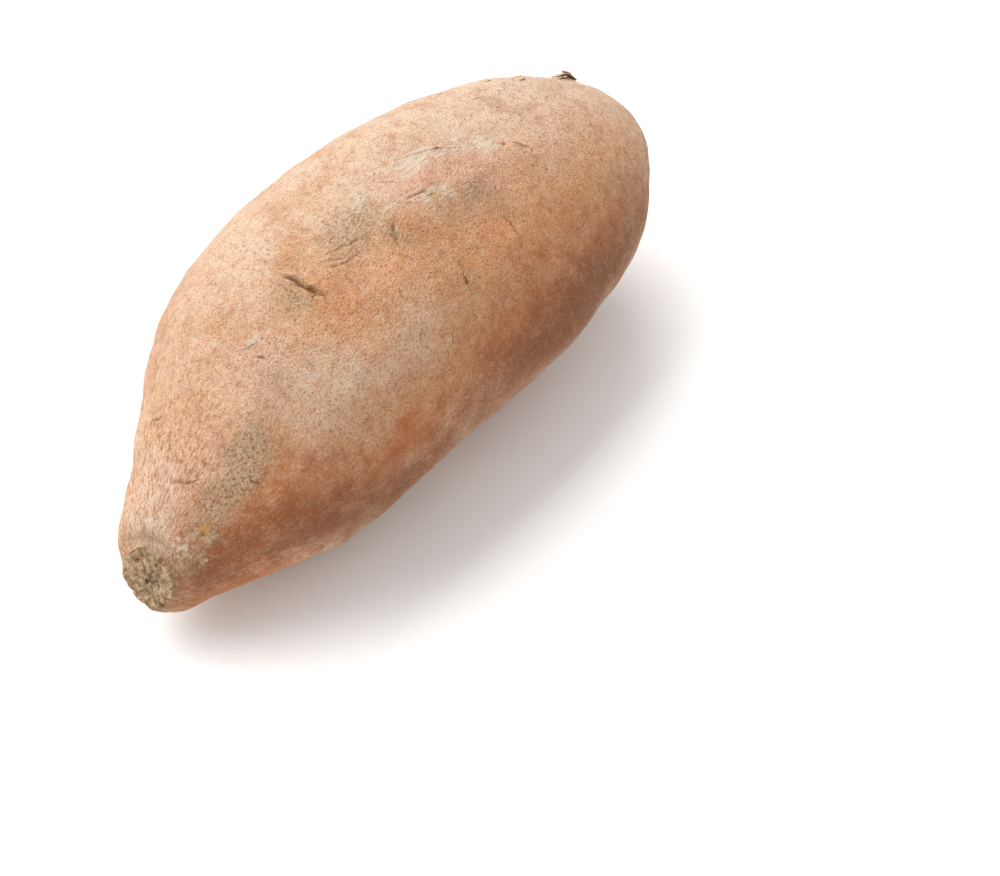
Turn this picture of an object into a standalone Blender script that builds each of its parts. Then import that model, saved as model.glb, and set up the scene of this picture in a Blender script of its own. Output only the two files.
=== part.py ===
"""A sweet potato: one storage root, lying on the flat of its belly.

It lies along X, with the broken stem at -X and the blunt root end at +X. +Z is up.
Its skin is a sphere's net of rings, poles on the X axis, in which every ring takes a place
along the root's middle line and the width that the root has there.
"""

import math

import bmesh
import bpy
import numpy as np
from mathutils import Matrix

MM = 0.001

# Driving dimensions
ROOT_LENGTH = 170 * MM  # along the middle line, from the stem scar to the blunt end
HALF_WIDTH = 38 * MM  # at the widest place
HEIGHT_TO_WIDTH = 0.97  # the root is a little flatter than it is wide
BELLY_PRESS = 0.9 * MM  # how much of the belly the flat rest spot takes off

# The outline: (share of the root's length from the stem, share of the half width)
OUTLINE = (
    (0.0, 0.222),
    (0.055, 0.41),
    (0.135, 0.63),
    (0.235, 0.865),
    (0.36, 0.962),
    (0.495, 1.0),
    (0.63, 0.985),
    (0.755, 0.885),
    (0.855, 0.73),
    (0.93, 0.505),
    (0.978, 0.295),
    (1.0, 0.0),
)

# The middle line: (share of the root's length, sideways, height), in mm. The neck droops.
MIDDLE_LINE = (
    (0.0, 0.6, 21.8),
    (0.135, 0.8, 29.2),
    (0.3, 3.5, 35.3),
    (0.5, 3.4, 37.0),
    (0.7, 0.6, 36.0),
    (0.855, -2.6, 35.0),
    (1.0, -3.7, 37.0),
)

# Low ribs that run along the root: (how many go round, height as a share of the radius,
# where the first crest lies in radians, how far the crests wind over the root's length)
RIBS = (
    (2, 0.012, 0.6, 0.0),
    (3, 0.010, 2.0, -1.2),
    (5, 0.006, -0.8, 0.9),
)

# Shallow hollows and swellings: (mm from the stem, degrees round from +Y over the top,
# spread in mm, depth in mm; a negative depth swells)
HOLLOWS = (
    (92, 128, 13, 0.9),
    (126, 138, 12, 0.8),
    (58, 150, 11, 0.7),
    (74, 205, 14, 0.8),
    (110, 195, 15, -0.7),
    (40, 95, 12, -0.6),
    (30, 20, 12, 0.7),
    (100, 40, 16, 0.8),
    (140, 60, 12, -0.6),
    (66, 300, 16, 0.6),
)

# The stem scar: the neck broke off on a slant, and the broken face is dished inside its rim
SCAR_SLANT = math.radians(25)
SLANT_REACH = 0.14  # share of the root's length over which the slant dies out
SCAR_FACE = (  # (share of the rim's radius, mm sunk below the rim), from the middle outwards
    (0.0, 0.5),
    (0.34, 1.1),
    (0.64, 1.2),
    (0.88, 0.5),
)

# The net
RINGS = 40  # steps from pole to pole
AROUND = 40
STEPS_PER_SPAN = 16  # points read from the curve between two given points

SKIN_COLOUR = (0.62, 0.33, 0.18, 1.0)
SKIN_ROUGHNESS = 0.75


def clear_scene():
    for obj in list(bpy.data.objects):
        bpy.data.objects.remove(obj)


def smooth_curve(points, before, after):
    """Points along a centripetal Catmull-Rom curve through the given ones."""
    knots = np.array([before, *points, after], float)
    gaps = np.sqrt(np.linalg.norm(np.diff(knots, axis=0), axis=1))
    times = np.concatenate([[0.0], np.cumsum(gaps)])
    found = []
    for i in range(1, len(knots) - 2):
        p0, p1, p2, p3 = knots[i - 1 : i + 3]
        t0, t1, t2, t3 = times[i - 1 : i + 3]
        for t in np.linspace(t1, t2, STEPS_PER_SPAN, endpoint=False):
            a1 = ((t1 - t) * p0 + (t - t0) * p1) / (t1 - t0)
            a2 = ((t2 - t) * p1 + (t - t1) * p2) / (t2 - t1)
            a3 = ((t3 - t) * p2 + (t - t2) * p3) / (t3 - t2)
            b1 = ((t2 - t) * a1 + (t - t0) * a2) / (t2 - t0)
            b2 = ((t3 - t) * a2 + (t - t1) * a3) / (t3 - t1)
            found.append(((t2 - t) * b1 + (t - t1) * b2) / (t2 - t1))
    found.append(knots[-2])
    return np.array(found)


def skin_outline():
    """(distance from the stem, half width) along the skin, ending round at the blunt end."""
    points = [(share * ROOT_LENGTH, width * HALF_WIDTH) for share, width in OUTLINE]
    first, second = np.array(points[0]), np.array(points[1])
    past_the_end = (points[-2][0], -points[-2][1])
    return smooth_curve(points, 2 * first - second, past_the_end)


def ring_stations():
    """(distance from the stem, half width, sunk) of each ring, from the stem's pole to the other."""
    outline = skin_outline()
    steps = np.linalg.norm(np.diff(outline, axis=0), axis=1)
    walked = np.concatenate([[0.0], np.cumsum(steps)])
    even = np.linspace(0.0, walked[-1], RINGS + 1 - len(SCAR_FACE))
    along = np.interp(even, walked, outline[:, 0])
    width = np.interp(even, walked, outline[:, 1])
    rim = width[0]
    face = [(0.0, share * rim, sunk * MM) for share, sunk in SCAR_FACE]
    skin = [(x, r, 0.0) for x, r in zip(along, width)]
    return face + skin


def middle_line():
    points = [(share * ROOT_LENGTH, y * MM, z * MM) for share, y, z in MIDDLE_LINE]
    ends = np.array(points)
    return smooth_curve(points, 2 * ends[0] - ends[1], 2 * ends[-1] - ends[-2])


def rib_height(angle, share):
    return 1 + sum(
        height * math.cos(count * (angle - crest) - count * wind * share)
        for count, height, crest, wind in RIBS
    )


def hollow_depth(along, angle, radius):
    """How far the skin is pressed in at a place, by all the hollows together."""
    depth = 0.0
    for from_stem, degrees, spread, deep in HOLLOWS:
        lengthwise = along - from_stem * MM
        turn = math.remainder(angle - math.radians(degrees), math.tau)
        away = math.hypot(lengthwise, turn * radius) / (spread * MM)
        depth += deep * MM * math.exp(-away * away)
    return depth


def skin_point(station, angle, line):
    along, width, sunk = station
    share = along / ROOT_LENGTH
    radius = width * rib_height(angle, share)
    if width > 0:
        radius -= hollow_depth(along, angle, width) * min(1.0, width / (0.5 * HALF_WIDTH))
    side = np.interp(along, line[:, 0], line[:, 1])
    height = np.interp(along, line[:, 0], line[:, 2])
    across = radius * math.cos(angle)
    up = HEIGHT_TO_WIDTH * radius * math.sin(angle)
    slant = math.tan(SCAR_SLANT) * max(0.0, 1 - share / SLANT_REACH) ** 2
    return (along + sunk + up * slant, side + across, height + up)


def build_net():
    """A sphere of rings with its poles on the X axis, the first one at -X."""
    bm = bmesh.new()
    poles_on_x = Matrix.Rotation(math.radians(90), 3, "Y").to_4x4()
    bmesh.ops.create_uvsphere(
        bm, u_segments=AROUND, v_segments=RINGS, radius=1.0, matrix=poles_on_x
    )
    return bm


def shape_root(bm):
    stations = ring_stations()
    line = middle_line()
    for vert in bm.verts:
        latitude = math.acos(max(-1.0, min(1.0, -vert.co.x)))
        station = stations[round(latitude / math.pi * RINGS)]
        angle = math.atan2(vert.co.z, vert.co.y)
        vert.co = skin_point(station, angle, line)


def press_belly_flat(bm):
    """The lowest part of the belly becomes the flat spot that the root rests on, at z = 0."""
    floor = min(vert.co.z for vert in bm.verts) + BELLY_PRESS
    for vert in bm.verts:
        vert.co.z = max(0.0, vert.co.z - floor)


def centre_over_origin(bm):
    for axis in (0, 1):
        places = [vert.co[axis] for vert in bm.verts]
        middle = (min(places) + max(places)) / 2
        for vert in bm.verts:
            vert.co[axis] -= middle


def skin_material():
    material = bpy.data.materials.new("sweet_potato_skin")
    material.use_nodes = True
    shader = material.node_tree.nodes["Principled BSDF"]
    shader.inputs["Base Color"].default_value = SKIN_COLOUR
    shader.inputs["Roughness"].default_value = SKIN_ROUGHNESS
    shader.inputs["Metallic"].default_value = 0.0
    material.diffuse_color = SKIN_COLOUR
    return material


def add_sweet_potato():
    bm = build_net()
    shape_root(bm)
    press_belly_flat(bm)
    centre_over_origin(bm)
    bmesh.ops.recalc_face_normals(bm, faces=bm.faces)
    mesh = bpy.data.meshes.new("sweet_potato")
    bm.to_mesh(mesh)
    bm.free()
    mesh.materials.append(skin_material())
    mesh.shade_smooth()
    obj = bpy.data.objects.new("sweet_potato", mesh)
    bpy.context.scene.collection.objects.link(obj)
    return obj


clear_scene()
add_sweet_potato()
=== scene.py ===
"""The looks of a whole sweet potato: grown skin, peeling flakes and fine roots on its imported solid.

The root lies along X with the broken stem at -X, as its solid does. A place on the skin is given
as (mm along X from the middle of the root, degrees round its middle line, from +Y over the top).
"""

import collections
import functools
import math

import bmesh
import bpy
import numpy as np
from bpy.props import FloatProperty, FloatVectorProperty, IntProperty, PointerProperty
from mathutils import Matrix, Vector, noise


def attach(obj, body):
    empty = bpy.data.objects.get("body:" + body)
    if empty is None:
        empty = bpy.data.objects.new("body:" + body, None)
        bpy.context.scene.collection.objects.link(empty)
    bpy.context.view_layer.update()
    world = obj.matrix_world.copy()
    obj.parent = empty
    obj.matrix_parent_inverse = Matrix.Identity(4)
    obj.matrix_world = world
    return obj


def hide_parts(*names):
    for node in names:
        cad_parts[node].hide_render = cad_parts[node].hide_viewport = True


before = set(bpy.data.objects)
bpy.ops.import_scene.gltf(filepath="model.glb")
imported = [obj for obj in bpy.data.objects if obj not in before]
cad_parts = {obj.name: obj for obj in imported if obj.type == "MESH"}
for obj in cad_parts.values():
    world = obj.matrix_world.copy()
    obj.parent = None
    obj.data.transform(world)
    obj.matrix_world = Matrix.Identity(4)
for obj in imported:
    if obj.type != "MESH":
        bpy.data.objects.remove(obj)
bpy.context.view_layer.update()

bl_info = {
    "name": "Sweet Potato",
    "version": (1, 0, 0),
    "blender": (4, 5, 0),
    "location": "3D View > Sidebar > Sweet Potato",
    "description": "Grows the skin, flakes and fine roots of a whole sweet potato on its solid",
    "category": "Add Mesh",
}

MM = 0.001
NODE = "sweet_potato"
BODY = "root"


def linear(code):
    """A linear RGBA colour from an sRGB hex one."""
    shares = [int(code[i : i + 2], 16) / 255 for i in (0, 2, 4)]
    return (*[s / 12.92 if s <= 0.04045 else ((s + 0.055) / 1.055) ** 2.4 for s in shares], 1.0)


# --- The marks on the skin -------------------------------------------------------------------

# A crease: its route, half its width and its depth in mm, the height in mm of the lip on either
# side of it, how dark it is, and how pale its lips are. Its dark is partly the crease's own
# torn skin and partly painted shade in its bottom. On a route that runs round the root towards
# higher degrees the first lip is the stem's side; on one that runs to +X it is the side of the
# higher degrees.
Crease = collections.namedtuple("Crease", "route half_width depth lips dark pale")
CREASES = [Crease(*row) for row in (
    # the neck
    (((-71.5, 74), (-70, 86), (-69.2, 96), (-68, 103), (-67.6, 108)), 0.36, 0.45, (0.2, 0.15), 0.6, 0.6),
    (((-75, 86), (-75.4, 96), (-76.2, 106)), 0.26, 0.3, (0.1, 0.0), 0.6, 0.3),
    (((-62.4, 131), (-61, 136), (-61.4, 142)), 0.34, 0.4, (0.15, 0.1), 0.6, 0.3),
    (((-63, 39), (-62, 47), (-61.4, 58)), 0.36, 0.4, (0.3, 0.1), 0.5, 0.6),
    (((-66.6, 66), (-66, 71)), 0.35, 0.3, (0.1, 0.0), 0.6, 0.3),
    (((-64.6, 60), (-64, 64)), 0.3, 0.25, (0.1, 0.0), 0.5, 0.2),
    # two slits under the shoulder, and the specks by them
    (((-45.6, 97.5), (-44.6, 100), (-44.8, 102.6)), 0.36, 0.45, (0.1, 0.25), 0.8, 0.6),
    (((-45.6, 92), (-43.4, 95.5)), 0.36, 0.35, (0.1, 0.2), 0.5, 0.8),
    (((-47.6, 103), (-46.8, 105), (-47.2, 107)), 0.4, 0.25, (0.1, 0.1), 0.45, 0.0),
    (((-51, 76), (-50.4, 80)), 0.3, 0.3, (0.1, 0.0), 0.6, 0.3),
    # the deep slit, with its overhanging lip away from the stem
    (((-28.6, 84), (-27.2, 89), (-27.2, 95), (-26.6, 101), (-25.4, 108)), 0.5, 0.9, (0.0, 0.6), 1.0, 0.3),
    # fine wrinkles beside it
    (((-21, 96), (-18, 99), (-14, 102)), 0.4, 0.25, (0.05, 0.12), 0.2, 0.2),
    (((-22, 98.5), (-17, 102), (-11, 104.5)), 0.5, 0.28, (0.05, 0.12), 0.2, 0.2),
    (((-21, 93.5), (-16, 96.5), (-8, 101)), 0.4, 0.25, (0.05, 0.12), 0.15, 0.2),
    # the middle of the back
    (((-1.2, 103), (-3, 105.5), (-4.2, 109), (-4.8, 112.5)), 0.6, 0.4, (0.25, 0.25), 0.8, 0.0),
    (((4, 100.5), (7, 102), (9.6, 102.6), (12, 102.4)), 0.4, 0.35, (0.1, 0.2), 0.75, 0.5),
    (((4.6, 88.5), (6, 90), (7.6, 92.4)), 0.34, 0.3, (0.1, 0.1), 0.55, 0.3),
    # the long crease on the shoulder, and the line under it
    (((12, 85), (16, 87.4), (19, 89), (22, 90.6), (24, 94), (26.6, 98)), 0.34, 0.35, (0.25, 0.2), 0.4, 0.9),
    (((36, 103.5), (37.4, 106), (39.4, 109), (40.6, 114)), 0.3, 0.3, (0.1, 0.1), 0.7, 0.3),
    (((20.4, 124), (21.2, 129), (21, 134), (20, 139)), 0.45, 0.45, (0.25, 0.0), 0.55, 0.5),
    # scratches and old cuts on the flank
    (((-14.4, 138), (-16, 142), (-16.6, 147)), 0.32, 0.25, (0.05, 0.05), 0.55, 0.2),
    (((-9.4, 153), (-8, 147.6)), 0.34, 0.3, (0.05, 0.05), 0.5, 0.2),
    (((3.4, 133), (2.4, 136), (1.8, 140)), 0.45, 0.3, (0.1, 0.1), 0.7, 0.0),
    (((52, 60), (56, 63), (59, 68)), 0.4, 0.4, (0.2, 0.1), 0.7, 0.5),
    (((41, 72), (45, 74.5), (49, 78)), 0.34, 0.25, (0.1, 0.1), 0.6, 0.4),
)]

# A small round pit: its place, its radius and depth in mm, and how dark it is; its dark is
# partly the pit's own colour and partly painted shade in its bowl
Pit = collections.namedtuple("Pit", "along around radius depth dark")
PITS = [Pit(*row) for row in (
    (-73.6, 133, 0.7, 0.5, 1.0),
    (-61, 114, 0.9, 0.3, 0.8),
    (-63, 101, 1.0, 0.25, 0.5),
    (-42.8, 95, 0.5, 0.3, 0.6),
    (-46, 111, 0.6, 0.35, 0.8),
    (-4, 91.6, 0.5, 0.3, 0.6),
    (-15.6, 72, 0.8, 0.2, 0.5),
    (22.2, 91, 0.7, 0.4, 1.0),
    (22.4, 97, 0.6, 0.3, 0.8),
    (35, 104, 0.8, 0.5, 1.0),
    (35.4, 99.5, 0.5, 0.3, 0.7),
    (39.2, 103, 0.6, 0.3, 0.8),
    (39, 109, 0.8, 0.35, 0.8),
    (39.6, 112.4, 0.5, 0.3, 0.8),
    (39, 116, 0.7, 0.35, 0.8),
    (38.6, 119, 0.5, 0.3, 0.7),
    (39.2, 122, 0.6, 0.3, 0.8),
    (38, 126, 0.6, 0.3, 0.8),
    (50, 122, 0.8, 0.25, 0.6),
    (2, 138, 0.7, 0.3, 0.8),
    (20, 140, 0.7, 0.4, 0.9),
    (23, 112, 0.7, 0.3, 0.8),
    (24, 116, 0.6, 0.3, 0.8),
)]

# A patch: the attribute that it paints, its place, its reach in mm along and round the root,
# and its strength. They are grouped by attribute.
Patch = collections.namedtuple("Patch", "kind along around reach_along reach_round strength")
PATCHES_OF_KIND = {
    "soil": (  # dried soil rubbed into the skin
        (-64, 121, 6.0, 5.5, 0.6), (-69, 130, 6.0, 5.0, 0.55), (-58, 125, 6.0, 7.0, 0.5),
        (-56, 116, 4.0, 5.0, 0.35), (-73, 126, 3.0, 4.5, 0.5), (-77.5, 142, 3.5, 3.4, 0.9),
        (-79, 158, 2.4, 2.0, 0.4), (-34, 96, 4.0, 5.0, 0.3), (-1.0, 112, 5.0, 5.0, 0.35),
        (-62, 48, 2.0, 5.0, 0.4), (-9, 94, 6.0, 6.0, 0.6), (-14, 92, 5.0, 4.5, 0.45),
        (-2, 90, 3.0, 5.0, 0.5), (-29.5, 98, 3.0, 8.0, 0.55), (-46, 108, 3.0, 4.0, 0.4),
        (20, 112, 4.0, 4.0, 0.3), (17, 112, 5.0, 4.0, 0.4), (-3.5, 108, 2.5, 4.5, 0.6),
        (23, 126, 4.0, 5.0, 0.3), (33, 98, 3.5, 3.5, 0.5), (47, 84, 5.0, 5.0, 0.3),
        (58, 148, 8.0, 8.0, 0.4), (3, 136, 3.0, 4.0, 0.45),
    ),
    "pale": (  # thin skin that lifts off pale
        (-78, 118, 3.0, 3.6, 0.7), (-77.6, 130, 2.0, 2.4, 0.8), (-76, 154, 2.0, 2.0, 0.55),
        (-42, 120, 5.0, 4.0, 0.55), (-77, 60, 0.8, 4.5, 0.9), (-3, 88.5, 4.0, 3.0, 0.95),
        (3, 92, 5.0, 5.0, 0.55), (9, 105.5, 5.0, 3.0, 0.95), (13, 109, 3.0, 3.0, 0.7),
        (14, 92, 6.0, 4.0, 0.7), (22, 95, 5.0, 3.0, 0.6), (31, 99, 5.0, 5.5, 0.95),
        (-42, 88, 6.0, 6.0, 0.35), (-52, 96, 6.0, 7.0, 0.3), (-43, 94, 1.5, 1.5, 0.9),
        (-34, 131, 6.0, 7.0, 0.65), (-55, 120, 5.0, 5.0, 0.3), (75, 114, 5.0, 7.0, 0.5),
        (57, 112, 4.0, 4.0, 0.35), (-37, 117, 4.0, 4.0, 0.3), (12, 84, 9.0, 4.0, 0.3),
        (18, 89, 9.0, 2.6, 0.85), (0, 100, 5.0, 2.5, 0.6),
    ),
    "tan": (  # saturated orange-tan low on the flank: partly the skin's tone, partly painted shade and painted orange reflected light
        (16, 138, 18, 8.0, 0.5), (8, 160, 26, 7.0, 0.6), (-24, 110, 7.0, 6.0, 0.4),
        (-18, 122, 12, 8.0, 0.25), (-57, 160, 14, 9.0, 0.95), (-34, 172, 18, 7.0, 0.95),
        (6, 172, 24, 8.0, 0.85), (42, 160, 22, 8.0, 0.7), (-58, 140, 8.0, 5.0, 0.4),
        (40, 140, 16, 8.0, 0.35), (-72, 158, 12, 9.0, 0.9), (1, 109, 4.0, 4.5, 0.5),
        (2, 119, 12, 5.0, 0.3), (30, 122, 9.0, 7.0, 0.2),
    ),
    "rust": (  # painted shade, darkest low on the sides
        (-54, 180, 16, 7.0, 0.95), (-32, 192, 18, 9.0, 0.9), (16, 182, 28, 12, 1.0),
        (38, 175, 22, 11, 0.95), (-77, 158, 12, 12, 0.97), (-60, 162, 12, 8.0, 0.75),
        (62, 172, 14, 10, 0.5),
    ),
    "dry": (  # painted highlight: paler skin laid where more light falls, mostly on the upper side
        (-79, 70, 6.0, 9.0, 0.9), (60, 74, 26, 20, 0.8), (48, 98, 28, 16, 0.9),
        (72, 104, 14, 14, 0.5), (4, 92, 22, 8.0, 0.5), (-26, 136, 15, 8.0, 0.85),
        (-8, 152, 10, 6.0, 0.5), (-44, 136, 6.0, 7.0, 0.5), (-20, 52, 40, 15, 0.6),
        (28, 62, 34, 15, 0.55), (-50, 104, 12, 12, 0.45), (-72, 70, 10, 12, 0.5),
    ),
    "warm": (  # the orange-tan of the flank: the skin's tone with painted orange reflected light
        (-34, 146, 20, 10, 0.5), (5, 138, 28, 16, 0.85), (44, 134, 28, 16, 0.85),
        (-8, 112, 26, 10, 0.65), (-56, 136, 12, 7.0, 0.6), (68, 138, 14, 12, 0.75),
        (0, 158, 50, 8.0, 0.8), (-60, 104, 10, 8.0, 0.4),
    ),
    "pink": (  # blushed skin
        (12, 98, 13, 6.0, 0.8), (24, 106, 8.0, 6.0, 0.6), (-62, 117, 2.2, 3.0, 0.9),
        (-66, 92, 12, 9.0, 0.5), (-45, 104, 9.0, 8.0, 0.4), (18, 103, 12, 7.0, 0.6),
        (-18, 112, 6.0, 4.0, 0.6), (54, 98, 12, 10, 0.4), (45, 120, 6.0, 5.0, 0.4),
    ),
    "ochre": (  # small bared spots
        (10.4, 107, 1.7, 1.5, 1.0), (-73, 130.5, 1.3, 1.1, 1.0), (-4, 86.6, 1.2, 1.2, 0.7),
        (-27, 84, 1.2, 1.0, 0.6), (50, 122, 1.0, 1.0, 0.8), (-15.6, 72, 1.0, 1.2, 0.6),
        (22.2, 91, 1.1, 0.8, 0.7),
    ),
}
PATCHES = [Patch(kind, *row) for kind, rows in PATCHES_OF_KIND.items() for row in rows]

# A swelling, or a hollow where its height is negative: its place, its reach in mm along and
# round the root, and its height in mm
Swelling = collections.namedtuple("Swelling", "along around reach_along reach_round height")
SWELLINGS = [Swelling(*row) for row in (
    (-22, 99, 5.0, 7.0, 0.75),  # the skin beyond the deep slit bulges over it
    (-32, 100, 4.0, 9.0, -0.75),
    (-13, 107, 8.0, 5.0, -1.2),
    (-30, 139, 17, 10, 1.8),
    (16, 107, 14, 5.0, 1.05),  # a long low ridge along the shoulder
    (36, 108, 9.0, 6.0, 0.6),
    (14, 124, 16, 7.0, -1.05),
    (-2, 96, 7.0, 6.0, 0.75),
    (22, 134, 3.0, 8.0, -0.75),
    (-48, 104, 9.0, 9.0, 0.6),
    (-62, 130, 5.0, 6.0, -0.6),
    (54, 66, 5.0, 5.0, 0.75),
    (46, 70, 4.0, 3.5, -0.52),
    (61, 68, 3.0, 3.0, 0.68),
    (75.4, 68, 2.6, 2.6, 0.75),  # the broken tip root
    (-80, 14, 7.0, 8.0, 1.95),  # the neck's end flares a little
    (-82, 238, 5.0, 6.0, 1.5),
    (40, 215, 14, 12, -1.05),
    (-20, 230, 16, 11, 0.9),
    (5, 330, 18, 12, -1.2),
    (-38, 350, 10, 9.0, 0.9),
    (48, 345, 10, 9.0, 0.75),
)]
PAINTS = ("crease", "pale", "soil", "tan", "rust", "dry", "warm", "pink", "ochre", "cork", "neck")

# A lifted flake of skin or cork: its place, its length and width in mm, which way it points in
# degrees from +X towards higher degrees, how far it lifts in degrees and how much it curls
Flake = collections.namedtuple("Flake", "along around length width heading lift curl")
FLAKES = [Flake(*row) for row in (
    (73.0, 67, 4.6, 3.6, 10, 14, 10),
    (77.6, 68, 4.0, 3.2, 185, 12, 12),
    (75.0, 64, 3.0, 4.4, 80, 10, 14),
    (53.0, 64, 1.8, 2.0, 10, 8, 8),
    (60.0, 70, 2.2, 2.2, 15, 9, 10),
    (9.0, 104, 1.8, 0.9, 15, 6, 15),
    (-27.4, 101.5, 0.5, 1.6, 90, 35, 30),
    (-44.0, 94, 1.3, 0.8, 70, 12, 15),
    (18.0, 250, 2.4, 1.4, 80, 12, 30),
    (-30.0, 320, 2.0, 1.2, 110, 14, 30),
    (44.0, 370, 2.2, 1.4, 60, 12, 25),
)]

# A fine root: its place, its length and thickness in mm, and its heading and lean in degrees
FineRoot = collections.namedtuple("FineRoot", "along around length thickness heading lean")
FINE_ROOTS = [FineRoot(*row) for row in (
    (-53.6, 14, 1.6, 0.14, 200, 35),
    (-58.6, 24, 1.3, 0.13, 150, 30),
    (-44.0, 29, 1.4, 0.12, 190, 40),
    (75.4, 67, 2.2, 0.12, 20, 8),
    (-27.0, 101, 1.4, 0.14, 100, 45),
    (33.0, 171, 1.6, 0.14, 120, 40),
    (40.0, 176, 1.2, 0.12, 60, 30),
    (-84.0, 10, 1.6, 0.2, 200, 30),
    (-84.0, 340, 1.8, 0.2, 160, 40),
)]
FINE_ROOTS_ON_HIDDEN_SIDES = 14
ROOTS_CLEAR_FLOOR = 4.0  # mm: lower than this on the skin, handling has rubbed the fine roots off

# The hidden sides get marks of the same kinds, scattered by a seed
HIDDEN_SIDES = (195, 385)  # degrees
EYES_ON_HIDDEN_SIDES = 12
PATCHES_ON_HIDDEN_SIDES = 36

# --- Skin geometry ---------------------------------------------------------------------------

SCAR_SLANT = math.radians(25)  # the broken stem faces the stem's way and this much up
SCAR_AXIS = np.array([-math.cos(SCAR_SLANT), 0.0, math.sin(SCAR_SLANT)])
CORK_OFFSET = (0.06, -0.24)  # how far the cork sits off the scar's middle, in rim radii
NECK_COMB = 16.0  # mm, the radius at which the neck's wrinkles have their true spacing
NECK_ENDS = -42.0  # mm along X where the neck's wrinkles have died out
FAR_FROM_ROUTE = 8.0  # mm from a crease's route past which it isn't measured
FLOOR_CLEAR = 1.5  # mm above the floor over which the sculpting fades in
SUBDIVISIONS = 2
WANDER = 0.42  # mm by which the creases' edges stray from their routes
BAKE_MARGIN = 0.03  # left beside the skin's seam on its map, as a share of the turn
# Beside a crease, in its half widths: how far off its lips stand, how wide they and its dark are
LIP_OFFSET, LIP_WIDTH, DARK_WIDTH = 1.7, 1.1, 0.85
# The stem scar, in mm: how far the cork rises, the skin's shoulder rolls down and in, and the
# furrow between the two sinks
CORK_RISE, SHOULDER_DROP, SHOULDER_PULL, FURROW_DEPTH = 0.75, 1.0, 0.55, 0.35
CORK_EDGE = (0.94, 0.8)  # where the cork starts and where it is whole, in rim radii
# Cuts in turn: (how near to a crease in mm, how near to the stem scar in mm, along which X the
# whole neck is cut too)
CUTS = ((2.4, 10.5, -64.0), (1.3, 8.0, -200.0), (0.4, 1.0, -200.0))


def select_only(obj):
    bpy.ops.object.select_all(action="DESELECT")
    obj.select_set(True)
    bpy.context.view_layer.objects.active = obj


def numbers(owner, name, width):
    found = np.empty(len(owner) * width, np.float32)
    owner.foreach_get(name, found)
    return found.reshape(-1, width).astype(float)


def smooth_step(values, low, high):
    share = np.clip((values - low) / (high - low), 0.0, 1.0)
    return share * share * (3 - 2 * share)


def turn_between(degrees, centre):
    """Degrees from centre, between -180 and 180."""
    return (degrees - centre + 180.0) % 360.0 - 180.0


def rumple(points, size, seed=0.0, octaves=1):
    """Smooth noise between about -1 and 1, whose bumps are size mm apart."""
    shift = Vector((seed * 17.3, seed * 7.9, seed * 31.1))
    total = np.zeros(len(points))
    for octave in range(octaves):
        scale = 2.0**octave / size
        total += [noise.noise(Vector(p) * scale + shift) / 2.0**octave for p in points]
    return total


class RootMap:
    """Places on the root's skin, measured from its solid's middle line."""

    def __init__(self, solid):
        points = numbers(solid.data.vertices, "co", 3) / MM
        inside = np.arange(points[:, 0].min() + 9.0, points[:, 0].max() - 7.0, 6.0)
        slices = [points[abs(points[:, 0] - x) < 4.0] for x in inside]
        middles = np.array([(s.min(0) + s.max(0)) / 2 for s in slices])
        self.side = np.polyfit(inside / 100, middles[:, 1], 4)
        self.height = np.polyfit(inside / 100, middles[:, 2], 4)
        self.stations = inside
        self.radii = np.array([(np.ptp(s[:, 1]) + np.ptp(s[:, 2])) / 4 for s in slices])
        outward = points @ SCAR_AXIS
        rim = points[outward > outward.max() - 0.3]
        self.scar_centre = rim.mean(0)
        self.scar_radius = np.linalg.norm(rim - self.scar_centre, axis=1).mean()

    def middle(self, x):
        return np.polyval(self.side, x / 100), np.polyval(self.height, x / 100)

    def places(self, points):
        """(mm along X, degrees round) of each point in mm."""
        side, height = self.middle(points[:, 0])
        around = np.degrees(np.arctan2(points[:, 2] - height, points[:, 1] - side))
        return np.stack([points[:, 0], around], 1)

    def radius(self, x):
        return np.interp(x, self.stations, self.radii)

    def flat(self, places, centre):
        """Places laid flat round a centre, in mm along and mm round."""
        girth = math.radians(1) * self.radius(centre[0])
        return np.stack([places[:, 0] - centre[0], turn_between(places[:, 1], centre[1]) * girth], 1)

    def from_route(self, places, route):
        """(mm from the route, + to its first lip's side; share of the route walked)."""
        route = smooth_route(np.array(route, float))
        centre = route[len(route) // 2]
        spots, line = self.flat(places, centre), self.flat(route, centre)
        near = ((spots > line.min(0) - FAR_FROM_ROUTE) & (spots < line.max(0) + FAR_FROM_ROUTE)).all(1)
        gaps, shares = np.full(len(places), 10 * FAR_FROM_ROUTE), np.zeros(len(places))
        spots = spots[near]
        steps = np.diff(line, axis=0)
        lengths = np.linalg.norm(steps, axis=1)
        walked = np.concatenate([[0.0], np.cumsum(lengths)])
        best = np.full(len(spots), 1e9)
        share = np.zeros(len(spots))
        side = np.ones(len(spots))
        for start, step, length, before in zip(line, steps, lengths, walked):
            away = spots - start
            t = np.clip(away @ step / length**2, 0.0, 1.0)
            gap = np.linalg.norm(away - t[:, None] * step, axis=1)
            nearer = gap < best
            best[nearer] = gap[nearer]
            share[nearer] = (before + t[nearer] * length) / walked[-1]
            side[nearer] = np.sign(step[0] * away[nearer, 1] - step[1] * away[nearer, 0])
        gaps[near], shares[near] = best * side, share
        return gaps, shares

    def scar(self, points):
        """(mm outwards from the rim's plane, mm from its middle, angle) round the stem scar."""
        away = points - self.scar_centre
        out = away @ SCAR_AXIS
        across = away - out[:, None] * SCAR_AXIS
        up = np.cross((0.0, 1.0, 0.0), SCAR_AXIS)
        angle = np.arctan2(across @ up, across[:, 1])
        return out, np.linalg.norm(across, axis=1), angle


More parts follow.
